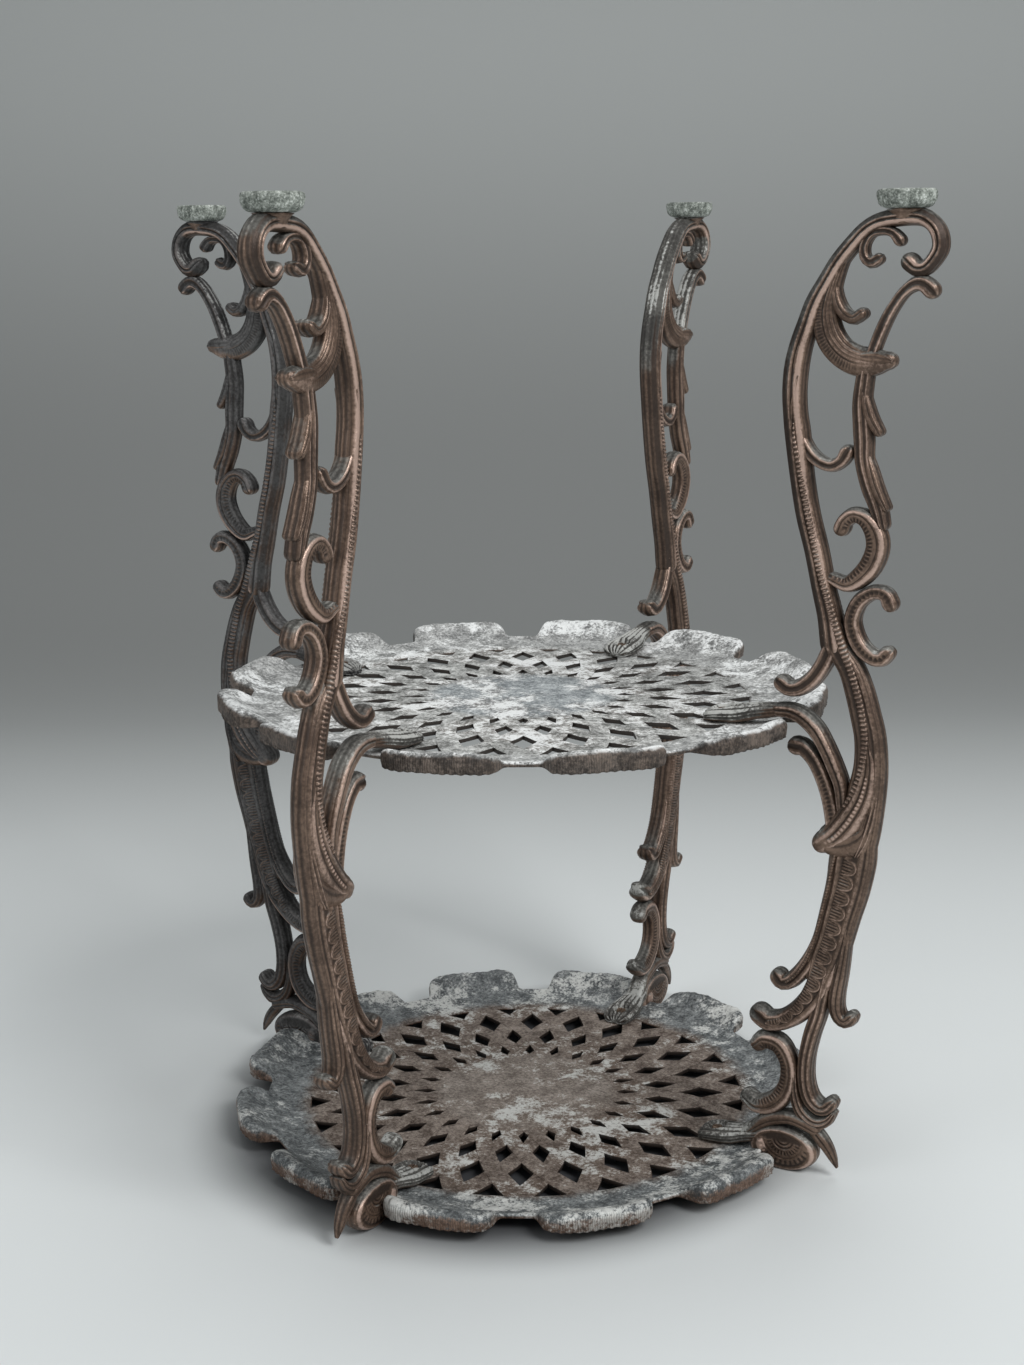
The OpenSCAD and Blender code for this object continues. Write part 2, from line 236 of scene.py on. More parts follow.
def tray_finish(name, plate, straps, gutter, rust, edge_share, lip, salt, salt_tone):
    """Three rings, each mixed between a dark and a light tone, then rust, bloom, pits and edges.

    rust, edge_share and salt say how far rust, the brown outer edge and the bloom of salts reach,
    lip how much further up the outer faces of the lobes the brown goes, and salt_tone is the
    colour of the bloom.
    """
    made, shader, place = material(name)
    carve, sky, r = place.stored("carve"), place.stored("sky"), place.off_axis()
    cloud = place.noise(15.0, 5.0, 0.62)
    patch = place.noise(75.0, 5.0, 0.66)
    grain = place.noise(450.0, 4.0, 0.7)
    crumb = place.noise(1700.0, 2.0, 0.5)
    mixed = (patch * 0.4 + grain * 0.45 + crumb * 0.15).step(0.40, 0.60)
    inner = r.step(0.064, 0.078)
    outer = (r + (patch - 0.5) * 0.03).step(0.168, 0.186)
    disc_crust, strap_crust, gutter_crust = (mixed.mix(colour(dull), colour(pale))
                                             for dull, pale in (plate, straps, gutter))
    rings = outer.mix(inner.mix(disc_crust, strap_crust), gutter_crust)
    stain = (cloud * 0.7 + patch * 0.3).step(0.46, 0.60) * 0.5 * (1.0 - outer)
    stained = stain.mix(rings, colour("6a5646"))
    rusty = (patch * 0.45 + grain * 0.35 + (1.0 - sky) * 0.25).step(0.54, 0.66) * rust
    spotted = rusty.mix(stained, colour("8a5c3a"))
    salty = r.step(0.204, 0.218) * 0.02 + salt
    bloom = (cloud * 0.5 + patch * 0.4 + grain * 0.3 + salty).step(0.615, 0.70) * 0.9
    white = bloom.mix(spotted, colour(salt_tone))
    pits = (0.86 - grain * 0.6 - crumb * 0.4).step(0.42, 0.54)
    pitted = (pits * 0.8).mix(white, colour("2b2826"))
    lobe = r.step(0.2235, 0.2285) * lip
    under = (lobe + 0.56 - sky + (patch - 0.5) * 0.5).step(0.0, 0.5) * edge_share
    side = (grain * 0.5 + patch * 0.5).step(0.40, 0.62).mix(colour("2d241e"), colour("69594d"))
    # painted shade: the walls of the openings and the undersides of the straps are painted near
    # black, partly their own dark bare metal and partly painted shade
    wall = (-0.5 - carve).step(0.0, 0.4) * 0.9
    # painted shade: the hatching paints fine dark lines on the lobes' outer faces for the shade in
    # their grooves, with a bump as well
    turns = place.maths("ARCTAN2", place.part(1), place.part(0)) * HATCH_LINES + patch * 16.0
    hatch = turns.maths("SINE", turns) * r.step(0.204, 0.212) * (1.15 - sky).step(0.2, 0.9)
    lines = hatch.step(0.1, 0.9) * 0.4
    edged = lines.mix(under.mix(pitted, side), colour("3a3632"))
    base = wall.mix(edged, colour("29231f"))
    dents = place.noise(130.0, 1.0, 0.4).step(0.35, 0.65) * outer
    relief = patch * 0.45 + grain * 0.4 * (1.0 - outer * 0.6) + crumb * 0.15 * (1.0 - outer)
    dress(shader, 0.15, base, 0.50 + patch * 0.3, relief + dents * 0.9 + hatch * 0.12, 0.0011)
    return made


upper_crust = tray_finish(
    "tray_crust_upper", plate=("666c6f", "b9bebf"), straps=("5a5a57", "cdcecb"),
    gutter=("6a6b6a", "c6c7c5"), rust=0.10, edge_share=0.95, lip=0.42, salt=0.022,
    salt_tone="eceeed")
lower_crust = tray_finish(
    "tray_crust_lower", plate=("675d55", "a89e95"), straps=("4a3c33", "9b8f85"),
    gutter=("44484a", "929696"), rust=0.65, edge_share=0.5, lip=-0.2, salt=-0.006,
    salt_tone="d4d5d1")
print("tray finishes:", upper_crust.name, lower_crust.name)

# %% Speckled pads and rusty fasteners


def speckle(name, dark, light, bloom_share, metal):
    """Fine speckle between two colours with pale bloom on top."""
    made, shader, place = material(name)
    patch = place.noise(160.0, 4.0, 0.65)
    grain = place.noise(700.0, 4.0, 0.7)
    tone = (patch * 0.5 + grain * 0.5).step(0.38, 0.62)
    base = tone.mix(colour(dark), colour(light))
    bloom = (grain * 0.7 + patch * 0.4).step(0.58, 0.74) * bloom_share
    top = bloom.mix(base, colour("e2e5e2"))
    dress(shader, metal, top, 0.85, patch * 0.5 + grain * 0.5, 0.0012)
    return made


pad_stone = speckle("pad_oxide", "4c524c", "a7ada5", 0.8, 0.05)
rust_steel = speckle("rusted_steel", "33261e", "75604e", 0.25, 0.2)
print("small finishes:", pad_stone.name, rust_steel.name)

# %% [markdown]
# ## Curves and closed strips
# Every scroll of the legs is a band that runs along a smooth curve, swells and narrows, and ends
# in a round tip. Blender's own curve bevel can't carve such a band, so the band is computed: a
# curve through a few design points, and a row of points across it for each step along it.

# %% Smooth curve through design points


def spline(points, step):
    """Catmull-Rom curve through the rows, resampled evenly by the length of columns 0 and 1."""
    p = np.asarray(points, float)
    p = np.vstack([2 * p[0] - p[1], p, 2 * p[-1] - p[-2]])
    t = np.linspace(0, 1, 24, endpoint=False)[None, :, None]
    a, b, c, d = p[:-3, None], p[1:-2, None], p[2:-1, None], p[3:, None]
    q = 0.5 * (2 * b + (c - a) * t + (2 * a - 5 * b + 4 * c - d) * t ** 2
               + (3 * b - a - 3 * c + d) * t ** 3)
    q = np.vstack([q.reshape(-1, p.shape[1]), p[-2:-1]])
    s = np.r_[0, np.cumsum(np.hypot(*np.diff(q[:, :2], axis=0).T))]
    u = np.linspace(0, s[-1], max(5, int(s[-1] / step) + 1))
    return u, np.stack([np.interp(u, s, q[:, k]) for k in range(q.shape[1])], 1)


def section(v, n=3, square=2.5):
    """Places round a soft rectangle, v across and y out, with |v|^square + |y|^2.7 = 1.

    The given places v lie on each face, and n places lie evenly by y on each edge.
    """
    e = np.linspace(0.45, -0.45, n)
    y, x = (1 - np.abs(v) ** square) ** (1 / 2.7), (1 - np.abs(e) ** 2.7) ** (1 / square)
    return np.r_[v, x, v[::-1], -x], np.r_[y, e, -y[::-1], e[::-1]]


print("a curve of two points has", len(spline([[0, 0], [10, 0]], 1)[0]), "steps")

# %% Closed forms from rings of points


def shell(rows, carve, ring=False):
    """Closed form from n rings of k points, an array (n, k, 3), as quads from ring to ring.

    A tube gets a fan of triangles on each end, and a ring joins its last ring to its first. Faces
    are turned round where the volume comes out negative, so that they look outwards.
    """
    n, k = rows.shape[:2]
    i, j = np.meshgrid(np.arange(n if ring else n - 1), np.arange(k), indexing="ij")
    here, ahead, beside = i * k, (i + 1) % n * k, (j + 1) % k
    quads = np.stack([here + j, here + beside, ahead + beside, ahead + j], -1).reshape(-1, 4)
    points, value, tris = rows.reshape(-1, 3), carve.ravel(), np.zeros((0, 3), int)
    if not ring:
        points = np.vstack([points, rows[0].mean(0), rows[-1].mean(0)])
        value = np.r_[value, carve[0].mean(), carve[-1].mean()]
        r, last = np.arange(k), (n - 1) * k
        tris = np.vstack([np.stack([(r + 1) % k, r, np.full(k, n * k)], -1),
                          np.stack([r + last, (r + 1) % k + last, np.full(k, n * k + 1)], -1)])
    soup = np.vstack([quads[:, [0, 1, 2]], quads[:, [0, 2, 3]], tris])
    corners = [points[soup[:, c]] for c in range(3)]
    if np.einsum("ij,ij->", corners[0], np.cross(corners[1], corners[2])) < 0:
        quads, tris = quads[:, ::-1], tris[:, ::-1]
    return points, quads, tris, value


ALONG_Y, ALONG_Z = np.array([[0.0, 1.0, 0.0]]), np.array([[0.0, 0.0, 1.0]])


def sweep(centre, side, up, x, y, carve):
    """Rings along centre: ring i has its points x[i] along side[i] and y[i] along up[i].

    A side or up that is the same for all rings may have one row.
    """
    rows = centre[:, None] + side[:, None] * x[..., None] + up[:, None] * y[..., None]
    return shell(rows, np.broadcast_to(carve, x.shape))


def lathe(profile, n, at=0.0, wobble=0.0):
    """Closed round form of n steps about the upright line x = at, from [radius, height] rows.

    Its heights waver by wobble times the sine of 7 times the angle plus 0.2 times the radius.
    """
    p = np.asarray(profile, float)
    a = np.linspace(0, 2 * np.pi, n, endpoint=False)[None]
    z = p[:, 1:] + wobble * np.sin(7 * a + p[:, :1] * 0.2)
    rows = np.stack([at + p[:, :1] * np.cos(a), p[:, :1] * np.sin(a), z], -1)
    return shell(rows, np.zeros(rows.shape[:2]))


print("a section of 5 places a face has", len(section(np.linspace(-0.9, 0.9, 5))[0]), "points")

# %% Put forms into one mesh


def piece(name, forms, finish, node, turn=0.0, weather=None):
    """Joins closed forms into one object at the origin, turned about Z, in place of that node.

    `sky` is the height part of the normal, plus weather(points, normals) of the unturned forms.
    """
    c, s = round(np.cos(turn), 9), round(np.sin(turn), 9)
    turned = np.array([[c, -s, 0], [s, c, 0], [0, 0, 1]])
    base = np.cumsum([0] + [len(f[0]) for f in forms])
    straight = np.vstack([f[0] for f in forms])
    points = straight @ turned.T / 1000
    quads = np.vstack([f[1] + b for f, b in zip(forms, base)])
    tris = np.vstack([f[2] + b for f, b in zip(forms, base)])
    mesh = bpy.data.meshes.new(name)
    mesh.vertices.add(len(points))
    mesh.vertices.foreach_set("co", points.ravel())
    mesh.loops.add(quads.size + tris.size)
    mesh.loops.foreach_set("vertex_index", np.r_[quads.ravel(), tris.ravel()])
    counts = np.r_[np.full(len(quads), 4), np.full(len(tris), 3)]
    mesh.polygons.add(len(counts))
    mesh.polygons.foreach_set("loop_start", np.r_[0, np.cumsum(counts)[:-1]])
    mesh.polygons.foreach_set("use_smooth", np.ones(len(counts), bool))
    mesh.update(calc_edges=True)
    normals = np.zeros(len(points) * 3)
    mesh.vertex_normals.foreach_get("vector", normals)
    normals = normals.reshape(-1, 3)
    sky = normals[:, 2] + (weather(straight, normals @ turned) if weather else 0.0)
    for key, value in (("carve", np.concatenate([f[3] for f in forms])), ("sky", sky)):
        mesh.attributes.new(key, "FLOAT", "POINT").data.foreach_set("value", value)
    mesh.materials.append(finish)
    made = bpy.data.objects.new(name, mesh)
    bpy.context.scene.collection.objects.link(made)
    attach(made, "root")
    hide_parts(node)
    print(name, "triangles:", 2 * len(quads) + len(tris))


# %% [markdown]
# ## Carving
# The carving is a height over each band: a few rounded ridges and cut grooves along it, and rows
# of pearls or small arcs that repeat. `s` is the way along the band in millimetres and `v` runs
# from -1 to 1 across it.

# %% Ridges, pearls and arcs


def ridges(v, *rows):
    """Soft ridges: the sum over rows (at, wide, high) of high times a bell curve round v = at."""
    return sum(high * np.exp(-((v - at) / wide) ** 2) for at, wide, high in rows)


def pearls(s, v, at, wide, pitch, high):
    """A row of beads: a flat-topped bell over v times a wave along s."""
    return high * np.exp(-((v - at) / wide) ** 4) * (0.5 + 0.5 * np.cos(2 * np.pi * s / pitch))


def rail(s, v):
    """A broad bevel on the inner side, a narrow ridge, a groove, and a rounded outer band."""
    return ridges(v, (-0.64, 0.26, -1.5), (-0.24, 0.08, 0.5), (0.04, 0.09, -1.3),
                  (0.46, 0.26, 0.6), (0.80, 0.06, -0.5))


def arm(s, v):
    """Two rounded bands with a groove between them and a finer one on the lower band."""
    return ridges(v, (-0.10, 0.11, -1.3), (-0.5, 0.25, 0.4), (0.5, 0.25, 0.45),
                  (0.38, 0.05, -0.8))


def scroll(s, v):
    """Two raised edges with a channel between them."""
    return ridges(v, (-0.05, 0.26, -1.4), (-0.6, 0.2, 0.45), (0.6, 0.22, 0.5))


def c_scroll(s, v):
    """A broad rim on the outer side, and a channel with pearls on the inner side."""
    return pearls(s, v, -0.46, 0.2, 3.2, 1.0) + ridges(
        v, (0.58, 0.30, 0.6), (0.14, 0.08, -0.9), (-0.04, 0.09, 0.3), (-0.46, 0.26, -1.1),
        (-0.86, 0.12, 0.4))


def reeds(s, v):
    """Long soft grooves of uneven width side by side."""
    return 0.65 * np.cos(2 * np.pi * (1.55 * v + 0.22 * v ** 2) + 0.7) - 0.2


def leaf(s, v):
    """A thick outer rim, a field with fine hatching, and four ribs that run to a raised tip."""
    tip = 1 / (1 + np.exp((94 - s) / 2.5))
    ribs = [(at, 0.05, -1.0) for at in (-0.10, 0.16, 0.42, 0.66)]
    field = (ridges(v, (-0.45, 0.28, -0.6), *ribs) + 0.25 * (v > -0.1)
             + 0.3 * np.sin(2 * np.pi * s / 1.9) * np.exp(-((v + 0.45) / 0.28) ** 4))
    return ridges(v, (-0.88, 0.12, 0.7)) + field * (1 - tip) + 0.2 * tip * (1 - v ** 2)


def plain(s, v):
    """A gently rounded band with one soft crease."""
    return ridges(v, (0.15, 0.14, -0.7))


print("carving at the middle of a rail:", round(float(rail(0.0, 0.0)), 2), "mm")

# %% One carved stroke


def stroke(points, thick, carving, step=2.6, m=13, n=3, reed=0.35, square=2.5):
    """Band through [u, z, width, share of the thickness] points, where that share may be left out.

    u is the distance from the stand's middle and z the height. The band is a ring of points every
    step millimetres, with m places across a face and n up an edge. Its section is the soft
    rectangle, with the carving added on both faces where they are flat enough and shallow reeds
    cut into the edges. The m places are even by the sum of v and 0.2 times the carving's rise and
    fall. Both ends shrink on a quarter circle.
    """
    s, q = spline([(*row, 1)[:4] for row in points], step)
    d = np.gradient(q[:, :2], axis=0)
    d /= np.linalg.norm(d, axis=1)[:, None]
    fine = np.linspace(-0.94, 0.94, 300)
    way = np.cumsum(0.0063 + 0.2 * np.abs(np.gradient(carving(s[-1] * 0.6, fine))))
    e = np.sin(np.linspace(np.pi / 2, 0, 7)[:-1]) * 0.995
    tip = np.sqrt(1 - e ** 2)
    w0, w1 = q[0, 2] / 2, q[-1, 2] / 2
    at = np.vstack([q[0, :2] - d[0] * (e * w0)[:, None], q[:, :2],
                    (q[-1, :2] + d[-1] * (e * w1)[:, None])[::-1]])
    half = np.r_[tip * w0, q[:, 2] / 2, (tip * w1)[::-1]][:, None]
    fade = np.r_[tip, np.ones(len(q)), tip[::-1]][:, None]
    s, body, du, dz = (np.pad(x, len(e), "edge")[:, None] for x in (s, q[:, 3], *d.T))
    v, y = section(np.interp(np.linspace(way[0], way[-1], m), way, fine), n, square)
    v, y = v[None], y[None]
    cut = carving(s, v) * np.clip(1.8 * np.abs(y) - 0.6, 0, 1) * fade
    ribs = reed * (np.cos(2 * np.pi * y / 0.3) - 1) / 2 * (np.abs(y) < 0.5) * fade
    zero = 0 * du
    return sweep(np.hstack([at[:, :1], zero, at[:, 1:]]), np.hstack([-dz, zero, du]), -ALONG_Y,
                 half * v + np.sign(v) * ribs,
                 thick / 2 * body * y * fade ** 0.6 + np.sign(y) * cut * (np.abs(y) >= 0.5),
                 cut + ribs)


print("a short stroke has", len(stroke([[0, 0, 4], [10, 0, 4]], 4, plain)[0]), "points")

# %% [markdown]
# ## One leg
# The outline of a leg is the same as in its solid: a crook at the top that curls over and carries
# the pad, a long rail with a bead row, scrolls and leaves on its outer side, arms that reach in to
# the trays, and a shell foot with a spike. Each band is drawn from a few points of its middle
# line, with the distance from the stand's middle, the height and the width in millimetres. Where
# a leaf grows out of a rail a fourth number thins it, so that it starts below the rail's face.
# A scroll ends in a club: its last point is as wide as the knob.

# %% Rails of the leg


def bead_rail(s, v):
    """Two thin inner ridges, a shallow valley for the beads, and a broad, softly grooved band."""
    return ridges(v, (-0.84, 0.08, 0.3), (-0.68, 0.05, -0.9), (-0.55, 0.06, 0.3),
                  (-0.12, 0.28, -1.0), (0.34, 0.06, -0.9), (0.52, 0.12, 0.3), (0.70, 0.06, -0.7))


def lower_rail(s, v):
    """Thin ridges on the inner side, a sunk strip for the arcs, and a broad band outside."""
    return ridges(v, (-0.88, 0.07, 0.2), (-0.62, 0.05, -0.8), (-0.49, 0.06, 0.5),
                  (0.00, 0.36, -1.2), (0.47, 0.07, 0.6), (0.60, 0.05, -1.0), (0.78, 0.05, -0.6))


rails = [
    # crook and long rail
    stroke([[297.5, 663, 13], [302, 659.5, 12], [307.5, 659.5, 11], [312.5, 664, 10.5],
            [317, 672, 11], [316, 681, 11], [311, 688, 11], [303, 692, 12], [291, 692, 12],
            [277, 690, 11.5], [267, 685, 11.5], [258, 676, 12], [248, 664, 12.5], [240, 651, 13],
            [232, 637, 14], [227, 623, 15], [222, 608, 16], [219, 593, 17], [218, 577, 17],
            [219, 562, 17], [221, 548, 18], [225, 519, 17], [230, 493, 17], [237, 468, 17],
            [243, 442, 17], [248, 423, 18], [251, 404, 19]], 17, rail, m=19, n=5),
    # rail past the upper tray
    stroke([[250, 410, 16, 0.9], [256, 400, 17], [265, 387, 19], [271, 372, 21], [276, 355, 22],
            [280, 338, 23], [281, 318, 25], [279, 300, 28], [275, 276, 31], [272, 262, 32, 0.95]],
           16.6, bead_rail, m=23, n=5),
    # rail below it
    stroke([[272, 264, 32], [270, 249, 35], [267, 228, 33], [262, 207, 31], [257, 186, 30],
            [252, 170, 30], [249, 160, 26]], 16.8, lower_rail, m=25, n=5),
    # arm that comes down on the upper tray
    stroke([[253, 410, 8, 0.8], [249, 398, 13, 0.9], [244, 387, 13, 0.95], [237, 377, 13, 0.95],
            [228, 370, 12.5, 0.95], [220, 368.5, 12.5, 0.95], [214.5, 371.5, 13, 0.95]],
           16.4, scroll),
    # arm that comes up under it
    stroke([[263, 278, 9, 0.8], [262, 290, 10], [260, 303, 11], [255, 315, 12], [248, 329, 12],
            [240, 341, 13], [230, 349, 13], [221, 352, 12], [213, 352, 11]], 16, arm),
    # large inner scroll
    stroke([[258, 172, 14, 0.8], [252, 156, 19, 0.95], [244, 140, 19], [232, 125.5, 17],
            [220, 117, 16], [209, 114.5, 16.5], [202.5, 118, 17]], 16.4, scroll),
    # small inner scroll
    stroke([[247, 190, 7, 0.8], [242, 172, 12, 0.95], [235, 159.5, 12.5], [227, 150, 12.5],
            [220, 147, 13], [216.5, 150, 13.5]], 15.9, scroll),
    # outer strand and its hook
    stroke([[271, 214, 5, 0.7], [268, 190, 8, 0.85], [264.5, 165, 11, 0.95], [261.5, 146, 12],
            [261.5, 135, 12], [264.5, 128, 11], [269.5, 126, 11], [273, 129, 10.5]],
           16.2, reeds, m=11),
    # strand down to the heel
    stroke([[257, 172, 8, 0.8], [253, 154, 13, 0.95], [250.5, 140, 13.5], [248, 127, 13],
            [243, 110, 13], [239.5, 91, 12.5], [239.5, 74, 12.5], [243, 61.5, 13],
            [249.5, 55, 12.5], [255.5, 55, 11.5], [259.5, 59, 11]], 16.6, reeds, m=15),
    # leaf round the heel
    stroke([[231, 80, 5, 0.8], [231.5, 64, 9, 0.9], [235.5, 51, 11, 0.95], [243, 43.5, 12, 0.95],
            [251, 42, 11, 0.95], [258, 46, 8, 0.9], [261.5, 51, 5, 0.8]], 16, reeds),
    # band to the lower lug
    stroke([[247, 37, 11], [237, 40, 11], [227, 41, 11], [211, 36, 11], [199, 27, 10],
            [190, 19, 8]], 15.4, plain),
    # spike
    stroke([[242, 39, 7, 0.9], [250, 31.5, 9.5], [256.5, 24, 9, 0.85], [261.5, 15.5, 6.5, 0.6],
            [264.5, 9, 2.2, 0.3]], 12, plain, m=15),
]
print("rail strokes:", len(rails))

# %% Scrolls, leaves and struts of the leg


def pearl_scroll(s, v):
    """A scroll with a row of pearls in its channel."""
    return scroll(s, v) + pearls(s, v, 0.0, 0.22, 3.4, 1.0)


def bracket_scroll(s, v):
    """A scroll with finer pearls over its first 50 mm."""
    return scroll(s, v) + pearls(s, v, 0.0, 0.24, 3.0, 1.1) * (s < 50)


scrolls = [
    # scroll inside the crook
    stroke([[275, 665, 8.5], [270.5, 663, 8.5], [266, 667, 7.5], [266, 675, 6.5], [271, 682, 6.5],
            [280, 683.5, 6.5], [286, 681.5, 7.5], [289.5, 677.5, 9]], 12.4, scroll),
    # wing leaf
    stroke([[258, 677, 6, 0.7], [251, 665, 9, 0.85], [244.5, 650, 13, 0.95], [240, 632, 18],
            [242.5, 616, 21], [251, 604.5, 21], [263, 598.5, 21], [275, 598, 19],
            [284.5, 599, 12.5, 0.9]], 15, leaf, step=0.63, m=19),
    # cheek of the wing leaf
    stroke([[263, 602, 4, 0.9], [269, 601, 10], [276, 600.5, 12], [283, 600, 9],
            [288, 599, 4, 0.9]], 16.2, plain, m=9),
    # tendril over the wing leaf
    stroke([[248, 659, 3, 0.6], [246.5, 647, 7, 0.8], [248.5, 637, 8.5], [253.5, 629.5, 9],
            [260, 626.5, 9], [265, 629.5, 9]], 15.6, plain, m=15),
    # outer arm under the crook
    stroke([[312, 645.5, 12.5], [308, 648.8, 12], [302, 649.5, 10.5], [294, 644, 8.5],
            [286, 633, 8.5], [280, 621, 9], [275, 608, 9], [272, 598, 9]], 13.4, scroll),
    # outer stem and its two leaflets
    stroke([[269, 592, 13], [267, 572, 14], [268, 558, 15], [269, 546, 15], [270, 531, 14],
            [275, 515, 15], [280, 503, 14], [284, 490, 11]], 13.2, reeds),
    stroke([[267, 588, 4, 0.7], [270, 573, 8, 0.95], [274, 561, 9, 1.05], [279.5, 552, 7.5]],
           14.0, plain),
    stroke([[270, 543, 4, 0.7], [275, 527, 8, 0.95], [280, 513, 8.5, 1.05], [286.5, 501, 6]],
           14.0, plain, m=15),
    # hook from the rail to the stem
    stroke([[221, 562, 5, 0.8], [224, 548, 9], [230, 537, 9.5], [238, 530, 9.5], [247, 527.5, 9.5],
            [254, 531, 10], [257.5, 536.5, 11.5]], 14.2, scroll, m=11),
    # broad c scroll
    stroke([[255.5, 485.5, 12.5], [258, 490.5, 11.5], [264, 494.5, 11.5], [272, 492.5, 13],
            [279, 484, 16], [281, 473, 17], [277, 461, 17], [269, 451.5, 15], [260, 446.5, 12],
            [249, 450, 8]], 14, c_scroll, step=0.8),
    # double scroll below it
    stroke([[291.5, 435.5, 12.5], [289, 440.5, 11.5], [284, 442.5, 11], [277, 441, 11],
            [269, 434, 12], [265, 423, 12.5], [266.5, 413, 13], [272, 403, 13], [280, 397, 12.5],
            [286.5, 396.5, 12], [290.5, 400, 11.5]], 14.2, pearl_scroll, step=0.85, m=11),
    # bracket under the upper tray
    stroke([[257, 262, 13], [255, 277, 13], [252, 291, 12.5], [247, 305, 12], [240, 318, 12],
            [232, 326, 13], [226.5, 327, 14.5]], 14.6, bracket_scroll, step=0.75, m=11),
    # c scroll on the lower tray
    stroke([[202, 95.5, 14], [207, 99, 15], [218, 97, 16], [225.5, 85, 15], [226, 70, 15],
            [221, 57, 16], [211, 48, 17], [201, 46, 15], [194, 50, 13]], 14.4, c_scroll, step=0.8),
]
print("scroll strokes:", len(scrolls))

# %% [markdown]
# The bead rows and the row of small arcs are bands of their own that lie a little proud in the
# sunk strips of the rails. That way only they need the fine steps that their pattern asks for.

# %% Bead rows, arcs, veins and the wrap leaf


def arcs(s, v):
    """Half shells, one every 12 mm: two arcs that bulge outwards round a comb of short bars."""
    t = (s % 12.0) / 12.0 - 0.5
    r = np.hypot(t * 2.0, (v + 0.15) * 0.95)
    bars = 0.5 + 0.5 * np.cos(2 * np.pi * s / 2.4)
    combed = np.where(r < 0.62, v > -0.85, (v < -0.3) & (v > -0.9))
    arc = ridges(r, (0.90, 0.11, 1.3), (0.66, 0.07, 0.65)) * (v > -0.3)
    return np.clip(arc + bars * combed, 0, 1.3) - 0.85


def beads(s, v):
    """A row of short cross bars, one every 3.3 mm, each rounded off towards both ends."""
    return 1.2 * (0.5 + 0.5 * np.cos(2 * np.pi * s / 3.3)) ** 0.7 * (1 - 0.4 * v ** 4) - 0.75


def fine_beads(s, v):
    """A row of small pearls, one every 2.4 mm."""
    return 0.8 * (0.5 + 0.5 * np.cos(2 * np.pi * s / 2.4)) - 0.5 + 0 * v


def wrap_leaf(s, v):
    """Two thick bands, and between them grooves and a row of pearls that fade to the nose."""
    nose = 1 / (1 + np.exp((s - 84) / 2.0))
    grooves = ridges(v, (-0.62, 0.07, -0.9), (-0.14, 0.06, -1.0), (0.26, 0.06, -1.0))
    return ((grooves + pearls(s, v, 0.06, 0.11, 3.3, 1.1) * (s > 26)) * nose
            + ridges(v, (-0.38, 0.14, 0.4), (0.55, 0.2, 0.4)))


bead_rows = [
    # beads down the rail
    stroke([[221, 556, 1.2], [221.5, 545, 3.2], [224, 533, 5], [228.5, 512, 6.2], [233, 493, 6.2],
            [239, 468, 6.2], [244, 449, 6.2], [249.5, 433, 6.4], [255, 416, 6.6], [261, 400, 6.8],
            [267.5, 385, 6.8], [272, 371, 6.8], [275.5, 358, 6.8], [278, 343, 6.8],
            [278, 327, 6.8], [275, 311, 6.4], [270, 298, 5.5], [264, 288, 3]],
           18.4, beads, step=0.68, m=7, n=2, reed=0, square=6),
    # pearls down the inner edge
    stroke([[259, 252, 3], [256.5, 240, 3.2], [254.5, 228, 3.2], [250, 207, 3.2], [245, 186, 3.2],
            [240, 171, 3.2], [232, 157, 3.2], [224.5, 149.5, 3]],
           18.0, fine_beads, step=0.6, m=5, n=2, reed=0),
    # half shells down the outer band
    stroke([[271, 250, 13], [266.5, 228, 14.5], [261.5, 207, 14.5], [256.5, 186, 14.5],
            [251, 168, 14.5], [246, 153, 13], [239.5, 140, 11], [231, 127.5, 8.5], [221, 118.5, 7],
            [210, 114.5, 5]], 17.4, arcs, step=0.62, m=14, n=2, reed=0, square=7),
    # two veins in the long rail
    stroke([[229, 623, 2], [226, 614, 3.4], [222, 603, 3.6], [220, 593, 2]],
           17.6, plain, m=5, n=2, square=5),
    stroke([[223, 588, 2], [221, 578, 3.2], [219, 568, 3.2], [219, 559, 2]],
           17.6, plain, m=5, n=2, square=5),
]
wrap = [
    # wrap leaf, its collar and its outer leaflet
    stroke([[279, 338, 8, 0.8], [281, 318, 15, 0.9], [277, 297, 22, 0.98], [268, 279, 25],
            [258, 266, 23], [251.5, 261, 20], [248.5, 259, 17]], 20.0, wrap_leaf, step=0.85, m=19),
    stroke([[248, 261, 11, 0.9], [254, 257.5, 14], [263, 258, 18], [272, 261.5, 20],
            [279, 268, 15, 0.95], [284, 279, 6, 0.8]], 20.2, plain),
    stroke([[287, 300, 5, 0.7], [284, 281, 9, 0.95], [279.5, 265, 9], [275, 254, 5]],
           19.6, reeds, m=15),
]
print("bead rows and veins:", len(bead_rows), "wrap leaves:", len(wrap))

# %% Shell foot


